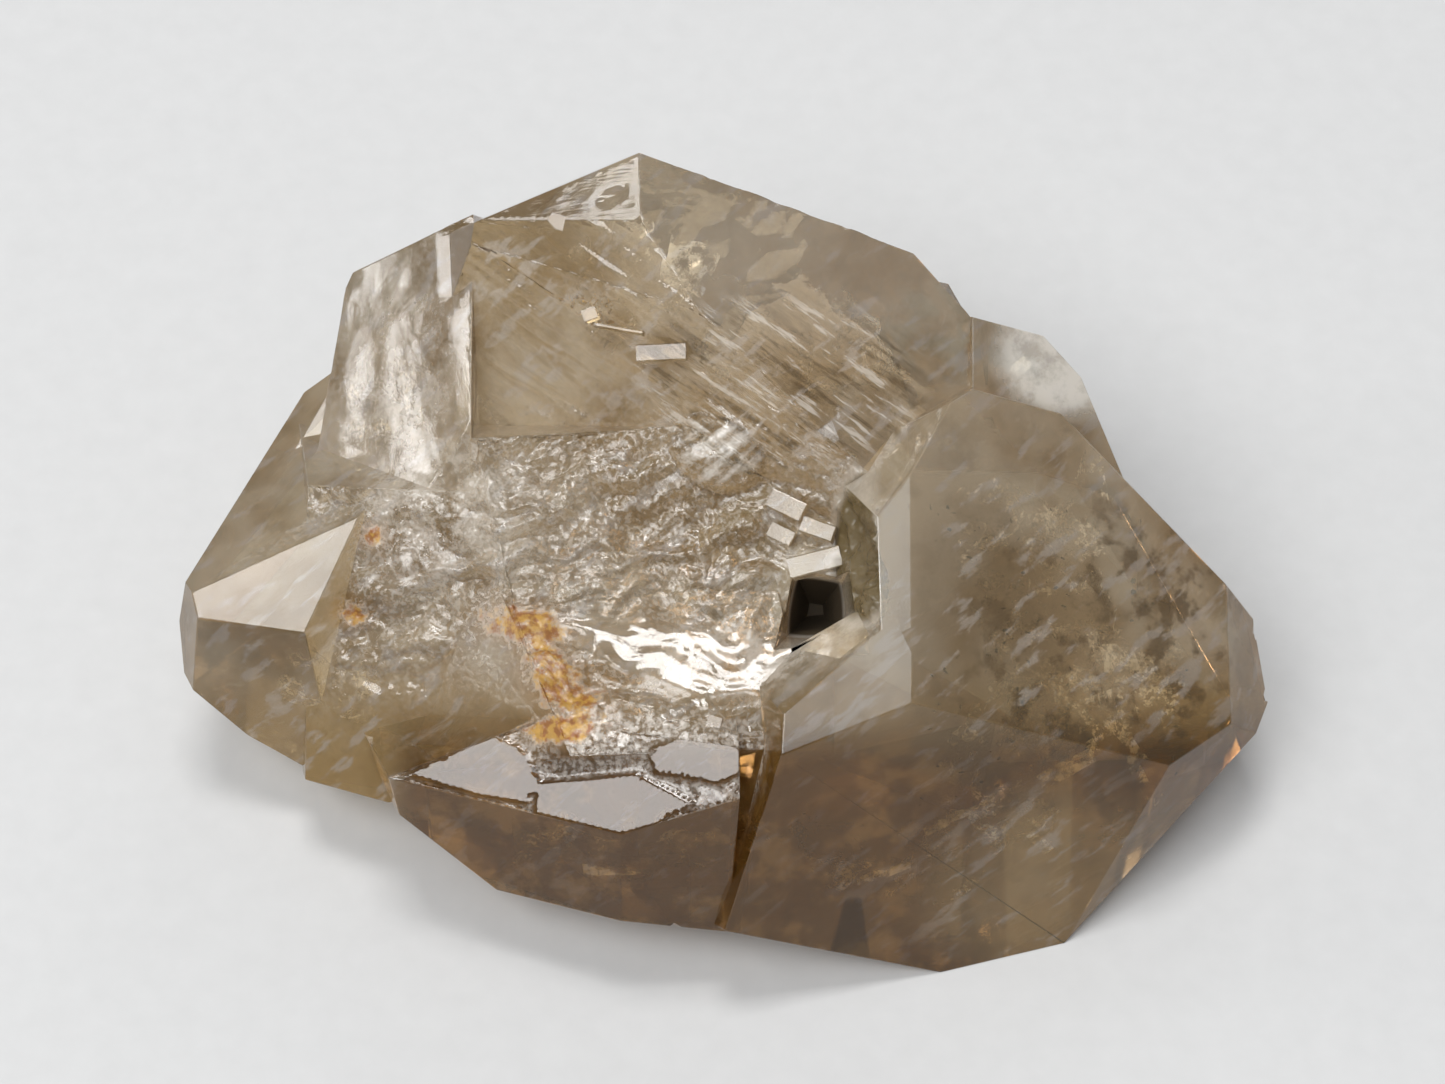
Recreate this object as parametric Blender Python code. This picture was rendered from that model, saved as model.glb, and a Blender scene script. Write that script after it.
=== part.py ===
"""Smoky quartz group: several quartz crystals grown together round an etched hollow, as one solid.

The crystals are laid out in the group's own frame, in millimetres: X runs along the group, Y across
it, and Z out of its broad face. Each crystal is a block cut flat by its crystal faces. A face is a
corner it passes through, the compass direction it leans to (0 = +X, 90 = +Y) and its tilt away from
+Z (0 = level, 90 = upright, over 90 = undercut). The finished group is leaned back by LEAN degrees,
so that it rests on its own flat resting face, and is scaled to metres.
"""
import math

import bmesh
import bpy
from mathutils import Matrix, Vector

MM = 0.001
LEAN = 35.0                                  # degrees that the broad face leans back from level
BLOCK = 60.0                                 # raw block that each crystal is cut from
BLOCK_STEP = 0.7                             # so that no two raw blocks end level with each other
SMOKY_BROWN = (0.45, 0.36, 0.24, 1)

# Corners where crystal faces meet.
RIGHT_JUNCTION = (6.5, -4.7, 1.5)            # right crystal: top, narrow and front faces
RIGHT_END = (15.5, -7.2, -2.8)               # right crystal: top, front and end faces
UPPER_APEX = (-2.9, 14.4, -1.0)              # upper crystal: its highest point
UPPER_SHOULDER = (6.5, 11.3, -2.9)
UPPER_EDGE = (-2.9, 11.9, -0.7)              # upper crystal: foot of its short upper faces
REAR_TOP = (11.2, 8.2, -3.4)                 # small rear crystal
LEFT_TOP = (-14.9, -2.4, -4.3)               # left crystal: bright face and lower face
FRONT_TOP = (-3.5, -9.3, 0.0)                # front crystal: bright face and lower face
HOLLOW_FLOOR = (-2.0, 1.0, -2.6)
PIT_BOTTOM = (3.3, -1.6, -7.0)

RIGHT_CRYSTAL = [
    (RIGHT_JUNCTION, 10, 27),                # big top face
    (RIGHT_JUNCTION, 90, 5),                 # narrow bright face
    (RIGHT_JUNCTION, -66, 37),               # front face
    ((1.9, -6.0, 1.2), 175, 70),             # left end, against the front crystal
    ((6.4, 2.6, 1.4), 140, 62),
    ((17.6, -2.0, -3.8), 4, 60),             # narrow end faces
    (RIGHT_END, -43, 60),
    ((6.9, 5.0, 0.9), 119, 85),              # back, behind the top face
    ((8.8, 6.1, 0.0), 75, 88),
    ((14.2, 3.1, -2.6), 46, 92),
    ((19.6, -3.9, -7.0), 15, 105),           # underside
    ((14.2, -11.5, -6.6), -42, 105),
    ((11.0, -14.4, -6.5), -66, 108),
    ((0.0, -12.8, -2.1), -104, 92),
]

WALL_NOTCH = [
    ((5.4, 0.0, 1.2), 0, 110),               # steep wall of the right crystal, above the hollow
    ((2.8, -4.2, 1.1), -51, 115),
]

UPPER_CRYSTAL = [
    (UPPER_APEX, 31, 16),                    # large top face
    (UPPER_APEX, 155, 18),                   # small left top face
    (UPPER_EDGE, -146, 20),                  # front face
    ((-0.9, 8.9, -0.7), -127, 34),           # steep streaked face, down into the hollow
    (UPPER_APEX, 113, 84),                   # back faces
    (UPPER_APEX, 70, 86),
    (UPPER_SHOULDER, 42, 88),
    ((8.9, 7.0, -3.0), 3, 94),
    ((-8.9, 10.0, -2.6), 178, 62),           # left face, down to the flank
    ((-9.8, 10.0, -7.0), 170, 95),
    ((-3.0, -1.0, -6.0), -90, 82),
]

FLANK_CRYSTAL = [
    ((-9.1, 9.0, -3.4), 172, 41),            # long left flank
    ((-13.2, 2.2, -5.0), 205, 24),
    ((-8.6, 12.6, -4.0), 113, 88),
    ((-13.7, 10.2, -6.5), 170, 90),
    ((-15.1, 7.6, -7.0), 152, 94),
    ((-18.1, 1.3, -7.0), 158, 98),
    ((-13.0, -3.0, -6.0), -110, 70),
    ((-8.75, 4.0, -6.0), 0, 88),
]

LEFT_CRYSTAL = [
    (LEFT_TOP, 138, 8),                      # bright face
    (LEFT_TOP, -107, 36),                    # front face
    (LEFT_TOP, -23, 50),
    ((-15.7, 0.4, -4.5), 117, 50),
    ((-18.8, -1.8, -4.8), 190, 66),
    ((-19.0, -0.2, -6.4), 157, 97),
    ((-19.8, -2.7, -6.4), 180, 103),
    ((-18.1, -5.5, -6.9), -135, 102),
    ((-14.8, -7.8, -7.5), -101, 100),
]

LEFT_SLOPE = [
    ((-11.3, -3.6, -4.6), -166, 22),         # honey slope between left and front crystals
    ((-14.0, -7.8, -7.5), -101, 98),
    ((-11.8, -8.1, -7.5), -70, 98),
    ((-15.0, -5.0, -6.0), 180, 80),
    ((-12.0, 3.2, -5.0), 100, 60),
    ((-7.2, -4.0, -5.0), 0, 80),
]

FRONT_CRYSTAL = [
    (FRONT_TOP, 160, 15),                    # bright face
    (FRONT_TOP, -118, 45),                   # front faces
    (FRONT_TOP, -86, 42),
    ((-8.2, -6.1, -1.4), 118, 60),           # back, down to the hollow
    ((-2.0, -6.0, 0.2), 95, 50),
    ((1.3, -6.0, 0.9), 10, 70),
    ((-11.6, -8.0, -2.6), -160, 80),
    ((-10.6, -9.4, -4.0), -130, 97),         # underside
    ((-8.7, -11.4, -4.2), -116, 102),
    ((-4.0, -12.4, -3.2), -99, 104),
    ((0.0, -10.0, -6.0), 0, 95),
]

REAR_CRYSTAL = [
    ((11.7, 5.2, -3.7), 5, 26),              # top face
    (REAR_TOP, 76, 88),
    ((12.9, 6.6, -4.1), 44, 90),
    ((13.8, 4.4, -4.6), 24, 92),
    ((8.8, 7.0, -2.0), 180, 88),
    ((12.0, 1.0, -6.0), -90, 90),
]

HOLLOW_RIM = [
    ((-1.0, -4.8, -0.7), 93, 24),            # etched slope up to the front crystal
    ((-3.0, -6.6, -0.6), -88, 82),
    ((2.6, -4.6, 0.0), 20, 75),
    ((-7.4, -4.0, -2.0), 175, 40),
    ((-10.5, -4.0, -6.0), 178, 84),
    ((-2.0, -0.6, -4.0), 90, 80),
]

HOLLOW_BED = [
    (HOLLOW_FLOOR, 75, 5),                   # floor of the etched hollow
    ((-8.2, 1.0, -2.7), 187, 40),
    ((-12.4, 0.0, -8.0), 180, 88),
    ((-4.0, -2.6, -2.5), -95, 50),
    ((5.6, 0.0, -3.0), 0, 90),
    ((-2.0, 4.9, -3.0), 93, 80),
]

PIT = [
    (PIT_BOTTOM, 0, 180),                    # deep dark pit at the foot of the wall
    ((4.25, -1.0, -3.0), 4, 99),
    ((2.5, -0.6, -3.0), 170, 101),
    ((3.3, -0.35, -3.0), 80, 104),
    ((3.4, -2.5, -3.0), -84, 100),
    ((3.3, -1.6, 1.0), 0, 0),
]

BULK = [
    ((0.0, 0.0, -9.4), 90, 0),               # hidden middle, under all the crystals
    ((17.5, -3.0, -8.0), 5, 100),
    ((12.0, 5.5, -8.0), 45, 95),
    ((0.0, 12.0, -8.0), 92, 95),
    ((-11.0, 9.5, -8.0), 140, 95),
    ((-17.0, 0.0, -8.0), 165, 105),
    ((-15.0, -6.0, -8.0), -130, 110),
    ((-6.0, -9.6, -8.0), -112, 100),
    ((5.0, -12.0, -8.0), -95, 104),
    ((12.0, -11.0, -9.0), -45, 110),
]

REAR_LEFT_BLADE = [
    ((-6.0, 13.2, -7.5), 108, 100),
    ((-3.0, 12.0, -9.0), 60, 115),
    ((-12.0, 9.5, -10.0), 150, 112),
    ((-7.0, 8.0, -8.6), 0, 0),
    ((-6.0, 3.0, -9.0), -91, 72),
]

REAR_RIGHT_BLADE = [
    ((4.8, 11.3, -8.0), 78, 104),
    ((10.1, 7.1, -9.0), 30, 110),
    ((1.0, 12.0, -11.0), 125, 118),
    ((6.0, 8.0, -8.8), 0, 0),
    ((6.0, 2.5, -9.0), -88, 74),
]

UNDERSIDE = [
    ((0.0, -10.0, -9.0), -90, 180 - LEAN),   # resting face, level once the group is leaned
    ((0.0, 15.2, -4.0), 90, 104),            # back
    ((-6.0, 14.6, -9.0), 112, 138),
    ((8.0, 13.6, -9.5), 62, 136),
    ((1.0, 11.0, -15.0), 88, 158),
    ((-16.4, 0.0, -11.5), 188, 132),         # lower left
    ((-12.0, -6.6, -10.0), -130, 140),
    ((17.0, -1.0, -12.5), 2, 134),           # lower right
    ((-11.0, 8.0, -13.0), 140, 140),
]


def face_normal(azimuth, tilt):
    az, ti = math.radians(azimuth), math.radians(tilt)
    return Vector((math.cos(az) * math.sin(ti), math.sin(az) * math.sin(ti), math.cos(ti)))


def cut_block(name, faces, size):
    """A block with everything outside each face cut away, closed again after each cut."""
    bm = bmesh.new()
    bmesh.ops.create_cube(bm, size=size)
    for corner, azimuth, tilt in faces:
        geom = bm.verts[:] + bm.edges[:] + bm.faces[:]
        cut = bmesh.ops.bisect_plane(bm, geom=geom, dist=1e-5, plane_co=Vector(corner),
                                     plane_no=face_normal(azimuth, tilt), clear_outer=True)
        rim = [item for item in cut["geom_cut"] if isinstance(item, bmesh.types.BMEdge)]
        if rim:
            bmesh.ops.contextual_create(bm, geom=rim)
    bmesh.ops.recalc_face_normals(bm, faces=bm.faces[:])
    mesh = bpy.data.meshes.new(name)
    bm.to_mesh(mesh)
    bm.free()
    block = bpy.data.objects.new(name, mesh)
    bpy.context.collection.objects.link(block)
    return block


def combine(solid, other, operation):
    """Add or cut one block with an exact Boolean and drop the block."""
    modifier = solid.modifiers.new(operation, "BOOLEAN")
    modifier.object = other
    modifier.operation = operation
    modifier.solver = "EXACT"
    graph = bpy.context.evaluated_depsgraph_get()
    mesh = bpy.data.meshes.new_from_object(solid.evaluated_get(graph))
    solid.modifiers.clear()
    solid.data = mesh
    bpy.data.objects.remove(other)


def quartz_material():
    """Glossy brown smoky quartz."""
    material = bpy.data.materials.new("smoky_quartz")
    material.use_nodes = True
    shader = material.node_tree.nodes["Principled BSDF"]
    shader.inputs["Base Color"].default_value = SMOKY_BROWN
    shader.inputs["Roughness"].default_value = 0.12
    shader.inputs["Metallic"].default_value = 0.0
    material.diffuse_color = SMOKY_BROWN
    return material


def clear_scene():
    for item in list(bpy.data.objects):
        bpy.data.objects.remove(item, do_unlink=True)


clear_scene()
CRYSTALS = {
    "hollow_bed": HOLLOW_BED,
    "hollow_rim": HOLLOW_RIM,
    "rear_left_blade": REAR_LEFT_BLADE,
    "rear_right_blade": REAR_RIGHT_BLADE,
    "right_crystal": RIGHT_CRYSTAL,
    "upper_crystal": UPPER_CRYSTAL,
    "flank_crystal": FLANK_CRYSTAL,
    "left_crystal": LEFT_CRYSTAL,
    "left_slope": LEFT_SLOPE,
    "front_crystal": FRONT_CRYSTAL,
    "rear_crystal": REAR_CRYSTAL,
}
group = cut_block("quartz_crystal", BULK, BLOCK)
for count, (crystal_name, crystal_faces) in enumerate(CRYSTALS.items(), start=1):
    crystal = cut_block(crystal_name, crystal_faces, BLOCK + count * BLOCK_STEP)
    if crystal_name == "right_crystal":
        combine(crystal, cut_block("notch", WALL_NOTCH, 2 * BLOCK), "DIFFERENCE")
    combine(group, crystal, "UNION")
combine(group, cut_block("pit", PIT, BLOCK), "DIFFERENCE")
combine(group, cut_block("underside", UNDERSIDE, BLOCK - BLOCK_STEP), "INTERSECT")

group.data.transform(Matrix.Scale(MM, 4) @ Matrix.Rotation(math.radians(LEAN), 4, "X"))
corners = [vertex.co for vertex in group.data.vertices]
low = Vector([min(co[axis] for co in corners) for axis in range(3)])
high = Vector([max(co[axis] for co in corners) for axis in range(3)])
shift = Vector((-(low.x + high.x) / 2, -(low.y + high.y) / 2, -low.z))
group.data.transform(Matrix.Translation(shift))
group.data.materials.clear()
group.data.materials.append(quartz_material())
print("size in mm:", [round(side / MM, 1) for side in high - low])
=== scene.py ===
# %% [markdown]
# # A smoky quartz group
# Several stubby quartz crystals grew into each other round a hollow that acid water later etched. The
# stone is see-through brown, its crystal faces are flat and glossy, the hollow is rough and stained
# with rust, and pale veils hang inside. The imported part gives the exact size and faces. This lesson
# gives that solid its fine relief, its glass, what is inside it, and a small photo studio.

# %% Load the fixed frame
import math
import random
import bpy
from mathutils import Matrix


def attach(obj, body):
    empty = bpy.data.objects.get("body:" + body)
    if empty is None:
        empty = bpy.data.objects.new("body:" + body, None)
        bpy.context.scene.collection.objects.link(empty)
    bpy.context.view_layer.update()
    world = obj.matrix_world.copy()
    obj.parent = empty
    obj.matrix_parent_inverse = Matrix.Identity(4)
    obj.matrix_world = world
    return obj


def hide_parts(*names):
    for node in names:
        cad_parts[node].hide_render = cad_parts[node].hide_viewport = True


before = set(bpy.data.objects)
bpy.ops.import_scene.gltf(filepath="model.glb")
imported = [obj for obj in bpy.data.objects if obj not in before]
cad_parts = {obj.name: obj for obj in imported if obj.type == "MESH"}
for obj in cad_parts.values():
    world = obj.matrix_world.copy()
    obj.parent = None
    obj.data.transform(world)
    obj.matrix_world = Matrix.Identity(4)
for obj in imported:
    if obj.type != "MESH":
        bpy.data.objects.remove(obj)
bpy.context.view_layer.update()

from types import SimpleNamespace

import bmesh
import bpy
import numpy as np
from mathutils import Matrix, Vector, noise
from mathutils.bvhtree import BVHTree

# %% [markdown]
# ## The group's own frame
# The faces are easiest to name in the frame the crystals grew in: millimetres, X along the group, Y
# across it, Z out of its broad face. The group leans back 35 degrees to rest on its flat side. Its
# highest corner is the tip of the upper crystal, so that one corner is enough to find the frame again.

# %% Find the group's frame from its highest corner
MM = 0.001
LEAN = math.radians(35)
UPPER_APEX = Vector((-2.9, 14.4, -1.0))

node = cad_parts["quartz_crystal"]
top_corner = max((vertex.co for vertex in node.data.vertices), key=lambda co: co.z)
turn = Matrix.Rotation(LEAN, 4, "X") @ Matrix.Scale(MM, 4)
origin = Vector(top_corner) - turn @ UPPER_APEX
TO_WORLD = Matrix.Translation(origin) @ turn
TO_GROUP = TO_WORLD.inverted()
print("group origin in mm:", [round(v / MM, 2) for v in origin])

# %% [markdown]
# ## Camera
# A long lens close to a small stone, looking down 55 degrees at the group's broad face. The group's
# origin sits a little below the middle of the picture, and a small vertical shift does that.

# %% Camera
CAMERA_ELEVATION = math.radians(55)
CAMERA_DISTANCE = 0.145
LENS, SENSOR, SHIFT_UP = 104.4, 36.0, 0.0166
camera_data = bpy.data.cameras.new("camera")
camera_data.lens, camera_data.sensor_width = LENS, SENSOR
camera_data.shift_y = SHIFT_UP
camera_data.clip_start, camera_data.clip_end = 0.01, 20
camera = bpy.data.objects.new("camera", camera_data)
bpy.context.scene.collection.objects.link(camera)
look_from = Vector((0, -math.cos(CAMERA_ELEVATION), math.sin(CAMERA_ELEVATION)))
camera.location = origin + CAMERA_DISTANCE * look_from
camera.rotation_euler = look_from.to_track_quat("Z", "Y").to_euler()
bpy.context.scene.camera = camera
print("camera at", [round(v, 3) for v in camera.location])

# %% [markdown]
# ## Shader maths that reads like maths
# A material is a web of small nodes. This class wraps one socket, so that `1 - mask * 0.5` adds the
# Math nodes by itself. `Finish.node` adds every other kind of node from its type, its settings and
# what its sockets get. Colours are mixed with Mix nodes, because Math nodes would turn them grey.

# %% The socket class and the material class
class Wire:
    """One output socket; Python's operators add Math nodes to it."""

    def __init__(self, finish, socket):
        self.finish, self.socket = finish, socket

    def maths(self, operation, *values, **settings):
        sockets = {index: value for index, value in enumerate(values)}
        return self.finish.node("ShaderNodeMath", {"operation": operation, **settings}, sockets)

    def __add__(self, other): return self.maths("ADD", self, other)
    def __radd__(self, other): return self.maths("ADD", other, self)
    def __sub__(self, other): return self.maths("SUBTRACT", self, other)
    def __rsub__(self, other): return self.maths("SUBTRACT", other, self)
    def __mul__(self, other): return self.maths("MULTIPLY", self, other)
    def __rmul__(self, other): return self.maths("MULTIPLY", other, self)

    def clamped(self):
        return self.maths("ADD", self, 0.0, use_clamp=True)

    def above(self, start, end):
        """0 up to start, 1 from end, smooth between."""
        return self.finish.node("ShaderNodeMapRange", {"interpolation_type": "SMOOTHSTEP"},
                                {"Value": self, "From Min": start, "From Max": end})


class Finish:
    """A material and the nodes in it."""

    def __init__(self, name):
        self.material = bpy.data.materials.new(name)
        self.material.use_nodes = True
        self.tree = self.material.node_tree
        self.tree.nodes.clear()

    def node(self, kind, settings=None, sockets=None, out=0):
        made = self.tree.nodes.new(kind)
        for name, value in (settings or {}).items():
            setattr(made, name, value)
        for name, value in (sockets or {}).items():
            if isinstance(value, Wire):
                self.tree.links.new(value.socket, made.inputs[name])
            else:
                if isinstance(value, tuple) and len(value) == 3 and made.inputs[name].type == "RGBA":
                    value = (*value, 1)
                made.inputs[name].default_value = value
        return Wire(self, made.outputs[out])

    def mix(self, factor, low, high):
        """A colour between two colours."""
        return self.node("ShaderNodeMix", {"data_type": "RGBA"}, {0: factor, 6: low, 7: high}, out=2)

    def place(self):
        """The spot on the stone, in the group's own frame and in millimetres."""
        coords = self.node("ShaderNodeTexCoord", out=3)
        shift = TO_GROUP.to_translation()
        return self.node("ShaderNodeMapping", {}, {
            "Vector": coords, "Location": tuple(shift), "Rotation": (-LEAN, 0, 0),
            "Scale": (1 / MM, 1 / MM, 1 / MM)})

    def streaked(self, place, lengths, heading=0.0):
        """Coordinates for a pattern drawn out by lengths, with its length along a heading."""
        return self.node("ShaderNodeMapping", {"vector_type": "TEXTURE"}, {
            "Vector": place, "Scale": lengths, "Rotation": (0, 0, math.radians(heading))})

    def cloud(self, place, scale, detail=3.0, rough=0.55, seed=0.0):
        if seed:
            place = self.node("ShaderNodeVectorMath", {"operation": "ADD"},
                              {0: place, 1: (seed, 2 * seed, 3 * seed)})
        return self.node("ShaderNodeTexNoise", {}, {
            "Vector": place, "Scale": scale, "Detail": detail, "Roughness": rough})

    def spot(self, place, centre, radii):
        """1 in the middle of an oval spot, falling to 0 at its edge."""
        offset = self.node("ShaderNodeVectorMath", {"operation": "SUBTRACT"}, {0: place, 1: centre})
        scaled = self.node("ShaderNodeVectorMath", {"operation": "DIVIDE"}, {0: offset, 1: radii})
        length = self.node("ShaderNodeVectorMath", {"operation": "LENGTH"}, {0: scaled}, out=1)
        return (1 - length).clamped()

    def end(self, surface, volume=None):
        sockets = {"Surface": surface}
        if volume:
            sockets["Volume"] = volume
        made = self.tree.nodes.new("ShaderNodeOutputMaterial")
        for name, wire in sockets.items():
            self.tree.links.new(wire.socket, made.inputs[name])
        return self.material


print("shader helpers ready")

# %% [markdown]
# ## Floor and lights
# Glossy crystal faces show the lamps as much as themselves. Each face that faces halfway between the
# eye and a softbox lights up pale grey, and the faces that lean away from it stay brown. So the big
# softbox hangs high and to the left for the three bright faces, a small cool one beside it gives the
# narrow face its grey, and a bright one nearly straight above is for the wet-looking scarp in the
# hollow. A low strip on the left draws the gleams on the flank, a weak box behind lifts the back, and
# a dim even sky fills the rest. The floor is plain pale paper that curves up far behind the stone.

# %% Floor
FLOOR_RADIUS, RIM_RADIUS = 0.62, 0.22
RIM_STEPS, SPIN_STEPS = 8, 96


def paper_sweep():
    """A pale disc whose rim curves up into a low wall, spun from one profile."""
    bm = bmesh.new()
    profile = [bm.verts.new((0, 0, 0)), bm.verts.new((FLOOR_RADIUS, 0, 0))]
    for step in range(1, RIM_STEPS + 1):
        turned = math.radians(90) * step / RIM_STEPS
        profile.append(bm.verts.new((FLOOR_RADIUS + RIM_RADIUS * math.sin(turned), 0,
                                     RIM_RADIUS * (1 - math.cos(turned)))))
    profile.append(bm.verts.new((FLOOR_RADIUS + RIM_RADIUS, 0, 2 * RIM_RADIUS)))
    edges = [bm.edges.new(pair) for pair in zip(profile, profile[1:])]
    bmesh.ops.spin(bm, geom=profile + edges, axis=(0, 0, 1), cent=(0, 0, 0), steps=SPIN_STEPS,
                   angle=2 * math.pi, use_merge=True)
    bmesh.ops.remove_doubles(bm, verts=bm.verts[:], dist=1e-6)
    bmesh.ops.recalc_face_normals(bm, faces=bm.faces[:])
    for face in bm.faces:
        face.smooth = True
    mesh = bpy.data.meshes.new("floor")
    bm.to_mesh(mesh)
    bm.free()
    floor = bpy.data.objects.new("floor", mesh)
    bpy.context.scene.collection.objects.link(floor)
    paper = Finish("pale_paper")
    grain = paper.cloud(paper.node("ShaderNodeTexCoord", out=3), 900.0)
    tone = paper.mix(grain, (0.53, 0.527, 0.52), (0.58, 0.577, 0.57))
    shader = paper.node("ShaderNodeBsdfPrincipled", {}, {"Base Color": tone, "Roughness": 0.75})
    mesh.materials.append(paper.end(shader))
    return floor


floor = paper_sweep()
print("floor faces:", len(floor.data.polygons))

# %% Lights
SKY_COLOUR, SKY_STRENGTH = (0.80, 0.83, 0.88), 0.42
COOL = (0.82, 0.91, 1.0)


def softbox(name, direction, distance, width, height, radiance, tint=(1, 1, 1)):
    """A square-cornered area lamp that faces the group from a direction, metres away."""
    data = bpy.data.lights.new(name, "AREA")
    data.shape, data.size, data.size_y = "RECTANGLE", width, height
    data.energy = radiance * math.pi * width * height
    data.color = tint
    lamp = bpy.data.objects.new(name, data)
    bpy.context.scene.collection.objects.link(lamp)
    direction = Vector(direction).normalized()
    lamp.location = Vector(origin) + distance * direction
    lamp.rotation_euler = direction.to_track_quat("Z", "Y").to_euler()
    return lamp


softbox("overhead_softbox", (-0.37, -0.41, 0.86), 0.5, 0.33, 0.22, 7.4)
softbox("side_softbox", (0.06, -0.40, 0.88), 0.5, 0.12, 0.20, 2.6, COOL)
softbox("rim_light", (-0.05, 0.20, 0.98), 0.5, 0.17, 0.12, 17.0)
softbox("left_strip", (-0.97, 0.06, 0.28), 0.5, 0.10, 0.12, 9.0)
softbox("rear_fill", (0.35, 0.8, 0.5), 0.55, 0.3, 0.22, 1.5)
sky = bpy.data.worlds.new("sky")
sky.use_nodes = True
sky.node_tree.nodes["Background"].inputs["Color"].default_value = (*SKY_COLOUR, 1)
sky.node_tree.nodes["Background"].inputs["Strength"].default_value = SKY_STRENGTH
bpy.context.scene.world = sky
bpy.context.scene.view_settings.view_transform = "Standard"

# %% [markdown]
# ## The stone's skin
# The part's mesh is loose triangles, so a copy is merged, and triangles that lie in one crystal face
# are dissolved into one many-sided face. That gives real, perfectly flat crystal faces to work on.
# A crystal face is found again by a corner on it, the way it leans (0 = +X, 90 = +Y) and its tilt.

# %% Copy the part and find its crystal faces
FACES = {
    "bed": ((-2.0, 1.0, -2.6), 75, 5),
    "bed_left": ((-8.2, 1.0, -2.7), 187, 40),
    "rim": ((-1.0, -4.8, -0.7), 93, 24),
    "streaked": ((-0.9, 8.9, -0.7), -127, 34),
    "upper_front": ((-2.9, 11.9, -0.7), -146, 20),
    "upper_top": (tuple(UPPER_APEX), 31, 16),
    "upper_left": (tuple(UPPER_APEX), 155, 18),
    "flank": ((-9.1, 9.0, -3.4), 172, 41),
    "flank_low": ((-13.2, 2.2, -5.0), 205, 24),
    "slope": ((-11.3, -3.6, -4.6), -166, 22),
    "left_bright": ((-14.9, -2.4, -4.3), 138, 8),
    "front_bright": ((-3.5, -9.3, 0.0), 160, 15),
    "front_back": ((-2.0, -6.0, 0.2), 95, 50),
    "right_top": ((6.5, -4.7, 1.5), 10, 27),
    "right_front": ((6.5, -4.7, 1.5), -66, 37),
    "right_narrow": ((6.5, -4.7, 1.5), 90, 5),
    "wall": ((5.4, 0.0, 1.2), 180, 70),
    "notch_wall": ((2.8, -4.2, 1.1), 129, 65),
    "rear_top": ((11.7, 5.2, -3.7), 5, 26),
}
FACE_CODE = {name: code for code, name in enumerate(FACES, start=1)}


def leaning(azimuth, tilt):
    az, ti = math.radians(azimuth), math.radians(tilt)
    return Vector((math.cos(az) * math.sin(ti), math.sin(az) * math.sin(ti), math.cos(ti)))


skin = bmesh.new()
skin.from_mesh(node.data)
bmesh.ops.remove_doubles(skin, verts=skin.verts[:], dist=1e-6)
bmesh.ops.transform(skin, matrix=TO_GROUP, verts=skin.verts[:])
print("closed:", all(e.is_manifold for e in skin.edges), "triangles:", len(skin.faces))

# %% [markdown]
# ## Small steps and chips
# Where crystals meet, quartz grows little ledges and blocks that face one way and flash together.
# Each is a small box turned to its own lean and joined on with an exact Boolean, which keeps the skin
# closed. The same tool with a difference bites small chips out of the long edges, as wear does.

# %% Boxes that are joined on or bitten out
def small_block(bm, centre, size, azimuth, tilt, spin):
    """A box with its upper face leaning to azimuth by tilt, turned by spin about that lean."""
    lean = leaning(azimuth, tilt).to_track_quat("Z", "Y").to_matrix().to_4x4()
    place = Matrix.Translation(centre) @ lean @ Matrix.Rotation(math.radians(spin), 4, "Z")
    bmesh.ops.create_cube(bm, size=1.0, matrix=place @ Matrix.Diagonal((*size, 1)))


def boolean(target, tool, operation):
    """The target bmesh joined with, or cut by, the tool bmesh."""
    objects = []
    for bm in (target, tool):
        mesh = bpy.data.meshes.new("boolean")
        bm.to_mesh(mesh)
        bm.free()
        objects.append(bpy.data.objects.new("boolean", mesh))
        bpy.context.scene.collection.objects.link(objects[-1])
    modifier = objects[0].modifiers.new("boolean", "BOOLEAN")
    modifier.object, modifier.operation, modifier.solver = objects[1], operation, "EXACT"
    modifier.use_self = True                 # the tool's own boxes may overlap
    graph = bpy.context.evaluated_depsgraph_get()
    result = bmesh.new()
    result.from_mesh(objects[0].evaluated_get(graph).to_mesh())
    for thing in objects:
        bpy.data.objects.remove(thing)
    return result


LEDGES = [  # centre, size, lean azimuth, tilt, spin
    ((3.3, 0.1, -2.75), (1.9, 0.75, 1.0), 146, 9, -42),       # bright ledge behind the pit
    ((-2.1, 7.45, -1.80), (1.75, 0.62, 0.7), 150, 10, -58),   # bright parallelogram
    ((-3.6, 8.25, -1.05), (1.75, 0.16, 0.5), 148, 10, -69),   # thin bar, set clear of the face
    ((-4.6, 8.75, -1.03), (0.50, 0.42, 0.5), 146, 10, -36),   # small block, set clear of it too
    ((2.3, 2.1, -2.55), (1.3, 0.7, 1.0), 150, 10, -86),       # bright patch by the wall
    ((3.4, 1.25, -2.6), (1.2, 0.6, 1.0), 140, 12, -70),
    ((2.1, 1.1, -2.7), (0.9, 0.5, 1.0), 152, 8, -88),
    ((-0.4, -5.9, -0.35), (1.4, 0.5, 0.5), 150, 10, 14),
]
blocks = bmesh.new()
for ledge in LEDGES:
    small_block(blocks, *ledge)
skin = boolean(skin, blocks, "UNION")
CHIPS, CHIPPED_LENGTH, CHIPPED_ANGLE = 26, 2.5, 18
chips = bmesh.new()
chance = random.Random(7)
edges = [e for e in skin.edges if e.is_convex and e.calc_length() > CHIPPED_LENGTH
         and math.degrees(e.calc_face_angle(0)) > CHIPPED_ANGLE]
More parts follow.
